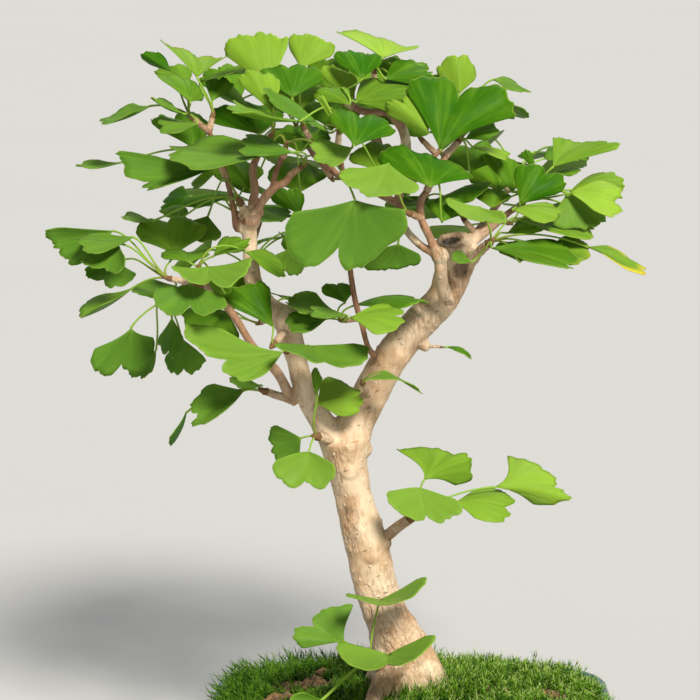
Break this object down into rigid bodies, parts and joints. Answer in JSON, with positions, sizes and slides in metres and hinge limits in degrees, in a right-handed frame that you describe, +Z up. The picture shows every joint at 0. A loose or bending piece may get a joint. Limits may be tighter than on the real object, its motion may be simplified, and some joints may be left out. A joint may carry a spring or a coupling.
{
  "type": "bonsai tree",
  "caption": "Ginkgo bonsai with a forked trunk, fan-shaped leaves on long stalks and a mossy mound of soil, in a glazed rounded rectangular pot on feet.",
  "frame": {"origin": "middle of the base of the whole piece's box, on the surface the feet rest on", "axes": "+Z up, the tree's front faces -Y, +X to the right as seen from the front"},
  "size_m": [0.2996, 0.1954, 0.3974],
  "materials": {
    "glaze": "glossy blue-green glaze over stoneware",
    "mesh": "black plastic mesh",
    "soil": "brown granular bonsai soil",
    "moss": "short upright moss",
    "bark": "pale tan, finely wrinkled bark",
    "leaf": "satin fresh green leaf with fine fanning veins"
  },
  "bodies": {
    "root": {"pot": "glaze", "drain_screen_left": "mesh", "drain_screen_right": "mesh", "soil": "soil", "moss": "moss", "tree_wood": "bark", "leaves_low_right": "leaf", "leaves_basal": "leaf", "leaves_trunk_left": "leaf", "leaves_limb_left": "leaf", "leaves_knuckle": "leaf", "leaves_lower_end": "leaf", "leaves_lower_left": "leaf", "leaves_lower_mid": "leaf", "leaves_knob_front": "leaf", "leaves_knob_left": "leaf", "leaves_twig_left": "leaf", "leaves_top_left": "leaf", "leaves_top_left_right": "leaf", "leaves_top_mid": "leaf", "leaves_elbow": "leaf", "leaves_inner_top": "leaf", "leaves_crown_left": "leaf", "leaves_crown_front": "leaf", "leaves_leader_side": "leaf", "leaves_leader_top": "leaf", "leaves_red_end": "leaf", "leaves_red_mid": "leaf", "leaves_red_low": "leaf", "leaves_right": "leaf", "leaves_right_high": "leaf", "leaves_thin_side": "leaf", "leaves_thin_top": "leaf", "leaves_limb_bud": "leaf", "leaves_limb_right": "leaf", "leaves_rear_a": "leaf", "leaves_rear_b": "leaf", "leaves_rear_c": "leaf", "leaves_rear_d": "leaf", "leaves_rear_e": "leaf", "leaves_rear_f": "leaf", "leaves_rear_g": "leaf", "leaves_rear_h": "leaf", "leaves_rear_i": "leaf", "leaves_rear_j": "leaf", "leaves_rear_k": "leaf", "leaves_rear_l": "leaf", "leaves_rear_m": "leaf"}
  },
  "joints": []
}
